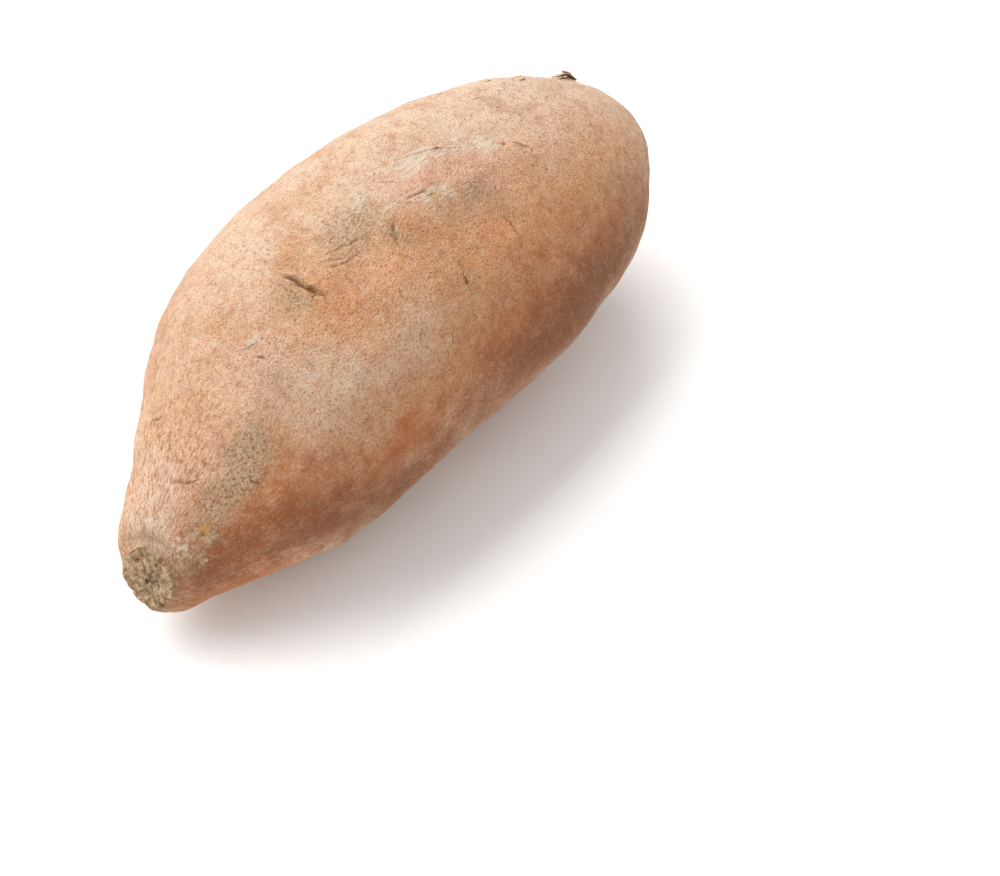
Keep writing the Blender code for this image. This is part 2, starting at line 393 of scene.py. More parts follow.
def smooth_route(points, rounds=2):
    """The corners of a route cut off, so that it bends smoothly."""
    for _ in range(rounds):
        near = points[:-1] * 0.75 + points[1:] * 0.25
        far = points[:-1] * 0.25 + points[1:] * 0.75
        cut = np.stack([near, far], 1).reshape(-1, 2)
        points = np.concatenate([points[:1], cut, points[-1:]])
    return points


def scattered_marks(seed):
    """Eyes (short creases across the root) and patches for the sides with no marks of their own."""
    draw = np.random.default_rng(seed)
    eyes, patches = [], []
    for _ in range(EYES_ON_HIDDEN_SIDES):
        x, turn = draw.uniform(-66, 66), draw.uniform(*HIDDEN_SIDES)
        reach, bow = draw.uniform(4, 10), draw.uniform(-1.2, 1.2)
        route = ((x - bow, turn - reach), (x, turn), (x - bow * 0.6, turn + reach))
        wide = draw.uniform(0.32, 0.55)
        lips = (draw.uniform(0.0, 0.2), draw.uniform(0.1, 0.3))
        dark, pale = draw.uniform(0.6, 0.95), draw.uniform(0.1, 0.6)
        eyes.append(Crease(route, wide, wide * 1.1, lips, dark, pale))
    kinds = ("soil", "pale", "warm", "tan", "pink", "soil")
    for i in range(PATCHES_ON_HIDDEN_SIDES):
        kind = kinds[i % len(kinds)]
        broad = 2.2 if kind in ("tan", "warm", "pink") else 1.0
        reach = draw.uniform(3.5, 7.5, 2) * broad
        place = (draw.uniform(-74, 76), draw.uniform(*HIDDEN_SIDES))
        patches.append(Patch(kind, *place, *reach, draw.uniform(0.35, 0.75)))
    return eyes, patches


def start_from_solid(name):
    """A copy of the root's solid as one clean net of quads, then subdivided."""
    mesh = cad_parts[NODE].data.copy()
    piece = bpy.data.objects.new(name, mesh)
    mesh.name = name
    bpy.context.scene.collection.objects.link(piece)
    select_only(piece)
    bpy.ops.object.mode_set(mode="EDIT")
    bpy.ops.mesh.select_all(action="SELECT")
    bpy.ops.mesh.remove_doubles(threshold=0.01 * MM)
    bent = math.radians(70)
    bpy.ops.mesh.tris_convert_to_quads(face_threshold=bent, shape_threshold=bent)
    bpy.ops.mesh.customdata_custom_splitnormals_clear()
    bpy.ops.object.mode_set(mode="OBJECT")
    rounding = piece.modifiers.new("rounding", "SUBSURF")
    rounding.levels = SUBDIVISIONS
    rounding.render_levels = SUBDIVISIONS
    bpy.ops.object.modifier_apply(modifier=rounding.name)
    return piece


def cut_finer(piece, root_map, creases):
    """Cuts the faces near the creases, on the neck and on the scar, so that they can be sculpted."""
    mesh = piece.data
    select_only(piece)
    for near_crease, near_scar, neck in CUTS:
        centres = numbers(mesh.polygons, "center", 3) / MM
        places = root_map.places(centres)
        out, away, _ = root_map.scar(centres)
        wanted = (np.hypot(out, away) < near_scar) | (centres[:, 0] < neck)
        for crease in creases:
            gap, _ = root_map.from_route(places, crease.route)
            wanted |= abs(gap) < near_crease + crease.half_width
        bpy.ops.object.mode_set(mode="EDIT")
        bpy.ops.mesh.select_mode(type="FACE")
        bpy.ops.mesh.select_all(action="DESELECT")
        bpy.ops.object.mode_set(mode="OBJECT")
        mesh.polygons.foreach_set("select", wanted)
        bpy.ops.object.mode_set(mode="EDIT")
        bpy.ops.mesh.subdivide(number_cuts=1)
        bpy.ops.mesh.vertices_smooth(factor=0.5, repeat=1)
        bpy.ops.object.mode_set(mode="OBJECT")


def lay_bake_map(mesh, root_map):
    """A map that unrolls the skin round the root's middle line, with its seam underneath."""
    points = numbers(mesh.vertices, "co", 3) / MM
    side, height = root_map.middle(points[:, 0])
    turns = (np.arctan2(points[:, 1] - side, points[:, 2] - height) / math.tau + 1.0) % 1.0
    turns = (turns + 0.5) % 1.0
    low, high = points[:, 0].min(), points[:, 0].max()
    share = np.clip((points[:, 0] - low) / (high - low), 0.0, 1.0)
    girth = np.hypot(points[:, 1] - side, points[:, 2] - height)
    walked = points[:, 0] + np.where(share < 0.5, girth, -girth) * 0.55
    walked = (walked - walked.min()) / np.ptp(walked)
    corners = np.empty(len(mesh.loops), np.int32)
    mesh.loops.foreach_get("vertex_index", corners)
    sizes = np.empty(len(mesh.polygons), np.int32)
    mesh.polygons.foreach_get("loop_total", sizes)
    face = np.repeat(np.arange(len(sizes)), sizes)
    first = np.concatenate([[0], np.cumsum(sizes)[:-1]])
    across = turns[corners] - turns[corners][first][face]
    across = turns[corners][first][face] + (across + 0.5) % 1.0 - 0.5
    across = (across + BAKE_MARGIN) / (1 + 2 * BAKE_MARGIN)
    uv = np.stack([across, walked[corners]], 1)
    layer = mesh.uv_layers.new(name="OFBake", do_init=False)
    layer.uv.foreach_set("vector", uv.astype(np.float32).ravel())


def cover(paint, amount):
    """Adds an amount to a paint so that the two together never pass 1."""
    paint += (1 - paint) * np.clip(amount, 0.0, 1.0)


def sculpt_creases(places, root_map, creases, scale, width_share, paints):
    """mm outwards at each place, from all the creases."""
    moved = np.zeros(len(places))
    for crease in creases:
        gap, share = root_map.from_route(places, crease.route)
        ends = smooth_step(np.minimum(share, 1 - share), 0.0, 0.3)
        wide = crease.half_width * width_share
        groove = np.exp(-((gap / wide) ** 2)) * ends
        left = np.exp(-(((gap - LIP_OFFSET * wide) / (LIP_WIDTH * wide)) ** 2)) * ends
        right = np.exp(-(((gap + LIP_OFFSET * wide) / (LIP_WIDTH * wide)) ** 2)) * ends
        moved += scale * (crease.lips[0] * left + crease.lips[1] * right - crease.depth * groove)
        # The dark along the crease's bottom: partly its torn skin, partly painted shade
        cover(paints["crease"], crease.dark * np.exp(-((gap / (DARK_WIDTH * wide)) ** 2)) * ends)
        raised = left * (crease.lips[0] > 0) + right * (crease.lips[1] > 0)
        cover(paints["pale"], crease.pale * raised)
    return moved


def sculpt_pits(places, root_map, paints):
    moved = np.zeros(len(places))
    for pit in PITS:
        spots = root_map.flat(places, (pit.along, pit.around))
        bowl = np.exp(-((spots**2).sum(1)) / pit.radius**2)
        moved -= pit.depth * bowl
        # The pit's bowl darkened: partly its own colour, partly painted shade
        cover(paints["crease"], pit.dark * bowl**1.5)
    return moved


def paint_patches(places, root_map, patches, points, paints):
    ragged = 1 + 0.35 * rumple(points, 5.0, seed=4, octaves=2)
    for patch in patches:
        spots = root_map.flat(places, (patch.along, patch.around))
        away = np.hypot(spots[:, 0] / patch.reach_along, spots[:, 1] / patch.reach_round)
        cover(paints[patch.kind], patch.strength * np.exp(-((away * ragged) ** 2)))


def sculpt_scar(points, root_map, paints):
    """Where each point near the broken stem moves, in mm: a rounded shoulder, then rough cork."""
    out, away, angle = root_map.scar(points)
    share = away / root_map.scar_radius
    near = np.exp(-((out / 3.5) ** 2)) * (share < 1.35)
    ragged = 0.08 * rumple(points, 2.9, seed=9, octaves=3)
    # The cork sits low and to the far side on the face, and the skin rolls over the rest
    across = np.hypot(share * np.cos(angle) - CORK_OFFSET[0], share * np.sin(angle) - CORK_OFFSET[1])
    on_cork = smooth_step(across + ragged, *CORK_EDGE) * (out > -3.0)
    toward = (np.cos(angle) * CORK_OFFSET[0] + np.sin(angle) * CORK_OFFSET[1]) / np.hypot(*CORK_OFFSET)
    rolled = 1 - 0.85 * smooth_step(toward, 0.0, 0.8)
    shoulder = np.exp(-(((share - 1.0) / 0.16) ** 2)) * near * rolled
    furrow = np.exp(-(((across + ragged - 0.87) / 0.045) ** 2)) * (abs(out) < 3.0)
    upper = 0.35 + 0.65 * smooth_step(np.sin(angle), -0.2, 0.7)
    rough = 0.55 * rumple(points, 3.2, seed=3, octaves=3)
    ridges = 0.3 - 0.7 * abs(rumple(points * (1.0, 0.55, 1.0), 1.8, seed=6, octaves=2))
    pits = -0.7 * smooth_step(rumple(points, 1.5, seed=12), 0.4, 0.65)
    lift = on_cork * (CORK_RISE + rough + ridges + pits)
    lift -= SHOULDER_DROP * shoulder + FURROW_DEPTH * furrow * upper
    lift = np.where(share < 1.4, lift, 0.0)
    middle = points - root_map.scar_centre
    inward = -(middle - (middle @ SCAR_AXIS)[:, None] * SCAR_AXIS)
    inward /= np.maximum(np.linalg.norm(inward, axis=1), 1e-6)[:, None]
    cover(paints["cork"], on_cork)
    # Painted shade in the furrow round the cork, on its upper side, and in the cork's pits
    cover(paints["crease"], 0.5 * furrow * upper)
    cover(paints["crease"], on_cork * smooth_step(-pits, 0.2, 0.6) * 0.5)
    cover(paints["soil"], 0.4 * np.exp(-(((share - 1.0) / 0.2) ** 2)) * near)
    return lift[:, None] * SCAR_AXIS + (SHOULDER_PULL * shoulder)[:, None] * inward


def sculpt_skin(piece, root_map, creases, patches, settings):
    """Moves the skin's points and paints what the material reads."""
    mesh = piece.data
    points = numbers(mesh.vertices, "co", 3) / MM
    normals = numbers(mesh.vertex_normals, "vector", 3)
    places = root_map.places(points)
    paints = {name: np.zeros(len(points)) for name in PAINTS}
    wander = np.stack([rumple(points, 2.0, seed=s, octaves=3) for s in (1, 2)], 1)
    wander[:, 1] /= np.maximum(math.radians(1) * root_map.radius(points[:, 0]), 0.1)
    bent = places + WANDER * wander
    neck = smooth_step(points[:, 0], NECK_ENDS, -72.0)
    cover(paints["neck"], neck)
    turn = np.radians(places[:, 1])
    combed = np.stack([points[:, 0], NECK_COMB * np.cos(turn), NECK_COMB * np.sin(turn)], 1)
    folds = rumple(combed * (0.4, 1.0, 1.0), 1.4, seed=5, octaves=2)
    moved = settings.undulation / MM * rumple(points, 26.0, seed=7)
    moved += settings.unevenness / MM * rumple(points, 8.0, seed=8, octaves=2)
    moved += settings.neck_folds / MM * neck * folds
    width_share = np.clip(0.85 + 0.9 * rumple(points, 1.9, seed=10), 0.4, 1.5)
    moved += sculpt_creases(bent, root_map, creases, settings.crease_relief, width_share, paints)
    moved += sculpt_pits(bent, root_map, paints)
    for swelling in SWELLINGS:
        spots = root_map.flat(places, (swelling.along, swelling.around))
        away = np.hypot(spots[:, 0] / swelling.reach_along, spots[:, 1] / swelling.reach_round)
        moved += swelling.height * np.exp(-(away**2))
    paint_patches(places, root_map, patches, points, paints)
    scar_shift = sculpt_scar(points, root_map, paints)
    held = smooth_step(points[:, 2], 0.0, FLOOR_CLEAR)
    points += normals * (moved * held * (1 - 0.8 * paints["cork"]))[:, None] + scar_shift
    points[:, 2] = np.maximum(points[:, 2], 0.0)
    mesh.vertices.foreach_set("co", (points * MM).astype(np.float32).ravel())
    for name, paint in paints.items():
        layer = mesh.attributes.new(name, "FLOAT", "POINT")
        layer.data.foreach_set("value", paint.astype(np.float32))
    layer = mesh.attributes.new("combed", "FLOAT_VECTOR", "POINT")
    layer.data.foreach_set("vector", combed.astype(np.float32).ravel())
    mesh.update()


def spot_on(piece, root_map, along, around):
    """The skin's point nearest to a place, and a frame there: +X of the frame runs along the root
    and +Z stands on the skin."""
    points = numbers(piece.data.vertices, "co", 3)
    places = root_map.places(points / MM)
    flat = root_map.flat(places, (along, around))
    nearest = int(np.argmin((flat**2).sum(1)))
    up = piece.data.vertices[nearest].normal.normalized()
    ahead = (Vector((1, 0, 0)) - up * up.x).normalized()
    side = up.cross(ahead)
    return Vector(points[nearest]), Matrix((ahead, side, up)).transposed()


def stand_copy(pattern, spot, heading, lean, size):
    """A copy of a pattern piece, with its own mesh, stood on the skin."""
    place, axes = spot
    # Higher degrees lie on the frame's -Y side
    turn = Matrix.Rotation(math.radians(-heading), 3, "Z")
    tip = Matrix.Rotation(math.radians(lean), 3, "Y")
    shape = axes @ turn @ tip @ Matrix.Diagonal(size)
    copy = bpy.data.objects.new(pattern.name + "_copy", pattern.data.copy())
    bpy.context.scene.collection.objects.link(copy)
    copy.data.transform(Matrix.Translation(place) @ shape.to_4x4())
    return copy


def join_copies(copies, pattern, name):
    bpy.data.objects.remove(pattern)
    bpy.ops.object.select_all(action="DESELECT")
    for copy in copies:
        copy.select_set(True)
    bpy.context.view_layer.objects.active = copies[0]
    bpy.ops.object.join()
    piece = bpy.context.active_object
    piece.name = name
    piece.data.name = name
    return piece


def selected_cap(obj):
    """The middle and the normal of the one selected face."""
    cap = next(face for face in bmesh.from_edit_mesh(obj.data).faces if face.select)
    return cap.calc_center_median(), cap.normal.copy()


def model_fine_root():
    """One fine root, 1 mm thick at its foot and 1 mm long for each mm, that bends and tapers."""
    bpy.ops.object.select_all(action="DESELECT")
    foot = (0, 0, -0.1 * MM)
    bpy.ops.mesh.primitive_circle_add(vertices=7, radius=0.5 * MM, fill_type="NGON", location=foot)
    root = bpy.context.active_object
    bpy.ops.object.transform_apply(location=True)
    bpy.ops.object.mode_set(mode="EDIT")
    bpy.ops.mesh.select_mode(type="FACE")
    bpy.ops.mesh.select_all(action="SELECT")
    for taper, bend in ((0.8, 4), (0.85, 8), (0.85, 12), (0.8, 14), (0.75, 12), (0.6, 10), (0.35, 0)):
        _, normal = selected_cap(root)
        bpy.ops.mesh.extrude_region_move(TRANSFORM_OT_translate={"value": normal * (0.16 * MM)})
        middle, _ = selected_cap(root)
        bpy.ops.transform.resize(value=(taper,) * 3, center_override=middle)
        bpy.ops.transform.rotate(value=math.radians(bend), orient_axis="Y", center_override=middle)
    bpy.ops.mesh.select_all(action="SELECT")
    bpy.ops.mesh.normals_make_consistent(inside=False)
    bpy.ops.object.mode_set(mode="OBJECT")
    bpy.ops.object.shade_smooth()
    return root


def model_flake():
    """One flake, 1 mm by 1 mm, hinged at its foot: thin, ragged and a little cupped."""
    bpy.ops.object.select_all(action="DESELECT")
    middle = (0.5 * MM, 0, 0)
    bpy.ops.mesh.primitive_grid_add(x_subdivisions=8, y_subdivisions=8, size=MM, location=middle)
    flake = bpy.context.active_object
    bpy.ops.object.transform_apply(location=True)
    for vert in flake.data.vertices:
        run, across = vert.co.x / MM, vert.co.y / MM
        ragged = 0.16 * noise.noise((run * 2.6, across * 5.0, 3.0)) * run
        vert.co.y *= 1 - 0.45 * run**2 + ragged
        vert.co.x *= 1 + 0.25 * noise.noise((across * 6.0, 1.0, 0.0)) * run
        vert.co.z = (0.16 * run**2 + 0.35 * across**2 + 0.05 * noise.noise((run * 4, across * 4, 0))) * MM
    thick = flake.modifiers.new("thickness", "SOLIDIFY")
    thick.thickness = 0.07 * MM
    thick.offset = 0.0
    bpy.ops.object.modifier_apply(modifier=thick.name)
    bpy.ops.object.shade_smooth()
    return flake


# --- Materials -------------------------------------------------------------------------------

PER_MM = (1000.0, 1000.0, 1000.0)  # brings Object coordinates from metres to mm


def new_material(name):
    material = bpy.data.materials.new(name)
    material.use_nodes = True
    return material, material.node_tree, material.node_tree.nodes["Principled BSDF"]


def add_node(tree, kind, inputs, out=0, **settings):
    """The output of a new node with its settings, and with a value or a link in its inputs."""
    node = tree.nodes.new(kind)
    for name, setting in settings.items():
        setattr(node, name, setting)
    for socket, given in inputs.items():
        if isinstance(given, bpy.types.NodeSocket):
            tree.links.new(given, node.inputs[socket])
        else:
            node.inputs[socket].default_value = given
    return node.outputs[out]


def skin_material(colours):
    """Cured sweet potato periderm, grown and then dried: matt, mottled, finely cracked and grained."""
    material, tree, shader = new_material("cured_sweet_potato_periderm")
    add = functools.partial(add_node, tree)
    paint = {name: add("ShaderNodeAttribute", {}, out="Fac", attribute_name=name) for name in PAINTS}

    place = add("ShaderNodeTexCoord", {}, out="Object")
    in_mm = add("ShaderNodeMapping", {"Vector": place, "Scale": PER_MM})
    drawn_out = add("ShaderNodeMapping", {"Vector": place, "Scale": (480.0, 1000.0, 1000.0)})
    combed = add("ShaderNodeAttribute", {}, out="Vector", attribute_name="combed")
    combed = add("ShaderNodeMapping", {"Vector": combed, "Scale": (0.42, 1.0, 1.0)})
    bend = add("ShaderNodeTexNoise", {"Vector": in_mm, "Scale": 1 / 2.6, "Detail": 2.0}, out="Color")
    bend = add("ShaderNodeVectorMath", {0: bend, 1: (1.5,) * 3}, operation="MULTIPLY")
    bent = add("ShaderNodeVectorMath", {0: in_mm, 1: bend}, operation="ADD")

    # Cloudy patterns: (what each runs over, its size in mm, its detail and its roughness). The
    # skin's own cork cells are far too fine to show, so its grain is drawn as coarse as 0.42 mm.
    clouds = {
        "broad": (in_mm, 17.0, 3.0, 0.55),
        "cloudy": (in_mm, 5.5, 3.0, 0.6),
        "blotchy": (bent, 2.9, 4.0, 0.7),
        "mottled": (bent, 1.7, 3.0, 0.65),
        "crumbs": (bent, 1.5, 5.0, 0.72),
        "curls": (in_mm, 1.15, 2.0, 0.5),
        "scales": (drawn_out, 0.9, 5.0, 0.72),
        "specks": (in_mm, 0.75, 3.0, 0.7),
        "dashes": (combed, 0.52, 2.0, 0.6),
        "grainy": (in_mm, 0.42, 2.0, 0.65),
    }
    cloud = {}
    for name, (vector, size, detail, roughness) in clouds.items():
        inputs = {"Vector": vector, "Scale": 1 / size, "Detail": detail, "Roughness": roughness}
        cloud[name] = add("ShaderNodeTexNoise", inputs)
    # Curled cracks run where their pattern passes its middle
    curl = add("ShaderNodeMath", {0: cloud["curls"], 1: 0.5}, operation="SUBTRACT")
    curl = add("ShaderNodeMath", {0: curl}, operation="ABSOLUTE")
    # Cells 1.1 mm wide between the cracks, and one pore for some of the cells 1.5 mm wide
    cells = {"Vector": bent, "Scale": 1 / 1.1}
    edges = add("ShaderNodeTexVoronoi", cells, out="Distance", feature="DISTANCE_TO_EDGE")
    spots = add("ShaderNodeTexVoronoi", {"Vector": bent, "Scale": 1 / 1.5}, out="Distance")
    chosen = add("ShaderNodeSeparateColor", {0: spots.node.outputs["Color"]})

    # Masks: (what each reads, the (pattern, share) pairs added to it, the sums at which it starts
    # and ends, and its strengths there)
    masks = {
        "two_tone": (cloud["broad"], (), 0.36, 0.64, 0.0, 1.0),
        "dry": (cloud["cloudy"], (), 0.7, 0.3, 0.6, 1.0),
        "warm": (cloud["cloudy"], (), 0.2, 0.7, 0.75, 1.0),
        "tan": (cloud["cloudy"], (), 0.2, 0.7, 0.7, 1.0),
        "rust": (cloud["cloudy"], (), 0.2, 0.7, 0.8, 1.0),
        "pink": (cloud["cloudy"], (), 0.3, 0.7, 0.4, 1.0),
        "dark_clouds": (cloud["cloudy"], (), 0.48, 0.7, 0.0, 0.3),
        "pink_blots": (cloud["blotchy"], (), 0.5, 0.68, 0.0, 0.55),
        "soil_blots": (cloud["blotchy"], (), 0.48, 0.32, 0.0, 0.42),
        "dark_mottle": (cloud["mottled"], (), 0.5, 0.75, 0.0, 0.55),
        "pale_mottle": (cloud["mottled"], (), 0.5, 0.25, 0.0, 0.5),
        "dark_grain": (cloud["grainy"], (), 0.5, 0.66, 0.0, 0.6),
        "pale_grain": (cloud["grainy"], (), 0.48, 0.34, 0.0, 0.28),
        "dark_dashes": (cloud["dashes"], (), 0.5, 0.34, 0.0, 0.6),
        "pale_dashes": (cloud["dashes"], (), 0.54, 0.7, 0.0, 0.5),
        "curl_lines": (curl, (), 0.03, 0.0, 0.0, 1.0),
        "cell_lines": (edges, (), 0.1, 0.0, 0.0, 0.5),
        "crack_clouds": (cloud["cloudy"], (), 0.36, 0.6, 0.3, 1.0),
        "pore_dots": (spots, ((cloud["grainy"], -0.1),), 0.16, 0.03, 0.0, 1.0),
        "pore_choice": (chosen, (), 0.4, 0.85, 0.0, 1.0),
        "dust": (paint["soil"], ((cloud["blotchy"], 2.2),), 1.2, 2.05, 0.0, 0.75),
        "dust_reach": (paint["soil"], (), 0.02, 0.5, 0.0, 1.0),
        "grit_lines": (edges, (), 0.16, 0.02, 0.0, 0.4),
        "grit_specks": (cloud["specks"], (), 0.52, 0.6, 0.0, 1.0),
        "grit_reach": (paint["soil"], (), 0.05, 0.7, 0.0, 0.8),
        "peel": (paint["pale"], ((cloud["scales"], 2.8),), 1.9, 2.25, 0.0, 1.0),
        "peel_reach": (paint["pale"], (), 0.0, 0.7, 0.0, 0.7),
        "cork_lit_share": (cloud["crumbs"], (), 0.36, 0.62, 0.0, 1.0),
        # Crease colour over the dark paint: torn skin with painted shade
        "torn_and_shaded": (paint["crease"], ((cloud["mottled"], 0.9), (cloud["grainy"], 0.8)), 1.17, 1.8, 0.0, 0.85),
        "torn_and_shaded_reach": (paint["crease"], (), 0.05, 0.4, 0.0, 1.0),
        "roughness": (cloud["mottled"], (), 0.3, 0.7, 0.56, 0.72),
    }
    mask = {}
    for name, (source, added, start, end, least, most) in masks.items():
        for pattern, share in added:
            source = add("ShaderNodeMath", {0: pattern, 1: share, 2: source}, operation="MULTIPLY_ADD")
        inputs = {"Value": source, "From Min": start, "From Max": end, "To Min": least, "To Max": most}
        mask[name] = add("ShaderNodeMapRange", inputs, interpolation_type="SMOOTHSTEP")

    # The neck is combed lengthwise, and fewer pale marks show on the tan and the painted shade low on the
    # flank
    hatched = add("ShaderNodeMath", {0: paint["neck"], 1: 0.9, 2: 0.1}, operation="MULTIPLY_ADD")
    off_neck = add("ShaderNodeMath", {0: paint["neck"], 1: -0.75, 2: 1.0}, operation="MULTIPLY_ADD")
    flank_tan_and_shade = add("ShaderNodeMath", {0: paint["tan"], 1: paint["rust"]}, operation="MAXIMUM")
    marked = add("ShaderNodeMath", {0: flank_tan_and_shade, 1: -0.75, 2: 1.0}, operation="MULTIPLY_ADD")
    lines = add("ShaderNodeMath", {0: mask["curl_lines"], 1: mask["cell_lines"]}, operation="ADD")
    cracks = {0: lines, 1: mask["crack_clouds"]}
    cracks = add("ShaderNodeMath", cracks, operation="MULTIPLY", use_clamp=True)
    pores = {0: mask["pore_dots"], 1: mask["pore_choice"]}
    pores = add("ShaderNodeMath", pores, operation="MULTIPLY")
    grit = {0: mask["grit_lines"], 1: mask["grit_specks"]}
    grit = add("ShaderNodeMath", grit, operation="ADD", use_clamp=True)
    peel = {0: mask["peel"], 1: mask["peel_reach"]}
    peel = add("ShaderNodeMath", peel, operation="MULTIPLY")
    # The cork's colour runs from painted shade in its hollows to painted highlight on its crests, where the
    # same pattern lifts its relief
    cork = {0: mask["cork_lit_share"], 6: colours["cork_deep"], 7: colours["cork_pale"]}
    cork = add("ShaderNodeMix", cork, out=2, data_type="RGBA")

    # The layers of colour from the skin outwards, each as strong as all its factors together
    layers = (
        (colours["deep"], mask["two_tone"]),
        *((colours[name], mask[name], paint[name]) for name in ("dry", "warm", "tan", "rust", "pink")),
        (colours["pink"], mask["pink_blots"], marked),
        (colours["soil"], mask["soil_blots"], marked),
        (colours["fleck"], mask["dark_clouds"]),
        (colours["fleck"], mask["dark_mottle"]),
        (colours["pale"], mask["pale_mottle"], marked),
        (colours["fleck"], mask["dark_grain"]),
        (colours["peel"], mask["pale_grain"], marked),
        (colours["pale"], cracks, marked, 0.5),
        (colours["fleck"], mask["dark_dashes"], hatched),
        (colours["pale"], mask["pale_dashes"], hatched, marked),
        (colours["pore"], pores, 0.6),
        (colours["soil"], mask["dust"], mask["dust_reach"]),
        (colours["grit"], grit, mask["grit_reach"]),
        (colours["peel"], peel),
        (colours["ochre"], paint["ochre"], 0.85),
        (cork, paint["cork"]),
        # torn skin and painted shade at the bottoms of creases, pits and the scar's furrow
        (colours["crease"], mask["torn_and_shaded"], mask["torn_and_shaded_reach"]),
    )
    colour = colours["light"]
    for laid, strength, *factors in layers:
        for factor in factors:
            strength = add("ShaderNodeMath", {0: strength, 1: factor}, operation="MULTIPLY")
        colour = add("ShaderNodeMix", {0: strength, 6: colour, 7: laid}, out=2, data_type="RGBA")
    tree.links.new(colour, shader.inputs["Base Color"])

    roughness = mask["roughness"]
    for name, rougher in (("soil", 0.15), ("cork", 0.25)):
        inputs = {0: paint[name], 1: rougher, 2: roughness}
        roughness = add("ShaderNodeMath", inputs, operation="MULTIPLY_ADD", use_clamp=True)
    tree.links.new(roughness, shader.inputs["Roughness"])
    shader.inputs["IOR"].default_value = 1.45
    shader.inputs["Specular IOR Level"].default_value = 0.2

    # The relief: patterns, what fades each, and their heights as shares of the bump's distance
    reliefs = (
        (cloud["mottled"], off_neck, 0.58),
        (cloud["grainy"], off_neck, 0.75),
        (pores, 1.0, -0.3),
        (cracks, 1.0, 0.06),
        (peel, 1.0, 0.12),
        (cloud["dashes"], hatched, 0.7),
        (cloud["crumbs"], paint["cork"], 1.2),
    )
    height = 0.0
    for pattern, fade, share in reliefs:
        faded = add("ShaderNodeMath", {0: pattern, 1: fade}, operation="MULTIPLY")
        height = add("ShaderNodeMath", {0: faded, 1: share, 2: height}, operation="MULTIPLY_ADD")
    bump = add("ShaderNodeBump", {"Strength": 0.9, "Distance": 0.9 * MM, "Height": height})
    tree.links.new(bump, shader.inputs["Normal"])
    return material


def streaked_material(name, deep, pale, roughness):
    """Dry plant fibre in streaks 0.9 mm long, between its deep and its pale colour."""
    material, tree, shader = new_material(name)
    add = functools.partial(add_node, tree)
    place = add("ShaderNodeTexCoord", {}, out="Object")
    in_mm = add("ShaderNodeMapping", {"Vector": place, "Scale": PER_MM})
    streaks = add("ShaderNodeTexNoise", {"Vector": in_mm, "Scale": 1 / 0.9, "Detail": 3.0})
    ends = {0: streaks, 6: linear(deep), 7: linear(pale)}
    colour = add("ShaderNodeMix", ends, out=2, data_type="RGBA")
    tree.links.new(colour, shader.inputs["Base Color"])
    shader.inputs["Roughness"].default_value = roughness
    bump = add("ShaderNodeBump", {"Strength": 0.4, "Distance": 0.1 * MM, "Height": streaks})
    tree.links.new(bump, shader.inputs["Normal"])
    return material


def dry_fibre_material():
    """Dried root fibre: straw-coloured, darker in streaks, quite matt."""
    return streaked_material("dried_root_fibre", "7A5430", "CDAA74", 0.75)


def flake_material():
    """Lifted periderm: a paper-thin dried skin, tan to straw, a little glossy where it is smooth."""
    return streaked_material("lifted_periderm", "8E6E4A", "CDB592", 0.6)


# --- Settings --------------------------------------------------------------------------------


def colour_setting(name, description, code):
    return FloatVectorProperty(
        name=name, description=description, subtype="COLOR", size=4, min=0.0, max=1.0, default=linear(code)
    )


def length_setting(name, description, millimetres):
    return FloatProperty(
        name=name, description=description, default=millimetres * MM, unit="LENGTH", subtype="DISTANCE"
    )


class SkinSettings(bpy.types.PropertyGroup):
    undulation: length_setting("Undulation", "Height of the broad swellings", 0.75)
    unevenness: length_setting("Unevenness", "Height of the small swellings", 0.42)
    neck_folds: length_setting("Neck folds", "Height of the long folds on the neck", 0.13)
    crease_relief: FloatProperty(
        name="Crease relief", description="Depth of all creases, as a share", default=1.0
    )
    seed: IntProperty(name="Seed", description="Places the marks on the hidden sides", default=11)
    light: colour_setting("Light skin", "The paler of the two main tones", "D0AE92")
    deep: colour_setting("Deep skin", "The deeper of the two main tones", "C08D62")
    # Partly the skin's orange tone, partly painted shade and painted orange reflected light on the flank
    tan: colour_setting("Tan", "Bare, saturated skin low on the flank", "C46A2C")
    # Painted shade: the darkest tone, laid low on the sides
    rust: colour_setting("Rust", "The darkest skin, low on the sides", "713A18")
    # Painted highlight: the paler tone laid where more light falls, mostly on the upper side
    dry: colour_setting("Dry skin", "The pale side that dried in the open", "DCC5AE")
    # The skin's orange-tan with painted orange reflected light on the flank
    warm: colour_setting("Warm skin", "The orange-tan of the flanks", "D09866")
    pink: colour_setting("Blush", "Pinkish skin", "C68F78")
    fleck: colour_setting("Fleck", "Fine dark flecks", "95592F")
    pale: colour_setting("Pale grain", "Fine pale cracks and flecks", "DCC0A4")
    pore: colour_setting("Pore", "Pores", "845E3E")
    soil: colour_setting("Soil", "Dried soil rubbed into the skin", "BDA184")
    grit: colour_setting("Grit", "Dark grains in the soil", "7A5A38")
    peel: colour_setting("Peel", "Thin skin that lifts off pale", "D3C2AE")
    ochre: colour_setting("Ochre", "Small bared spots", "B48949")
    # Partly torn skin, partly painted shade at the bottom of creases and pits
    crease: colour_setting("Crease", "The bottom of a crease", "80592E")
    # The cork's tone with painted shade in its hollows and painted highlight on its crests
    cork_deep: colour_setting("Deep cork", "Cork in its hollows", "866646")
    cork_pale: colour_setting("Pale cork", "Cork on its crests", "CCB08C")


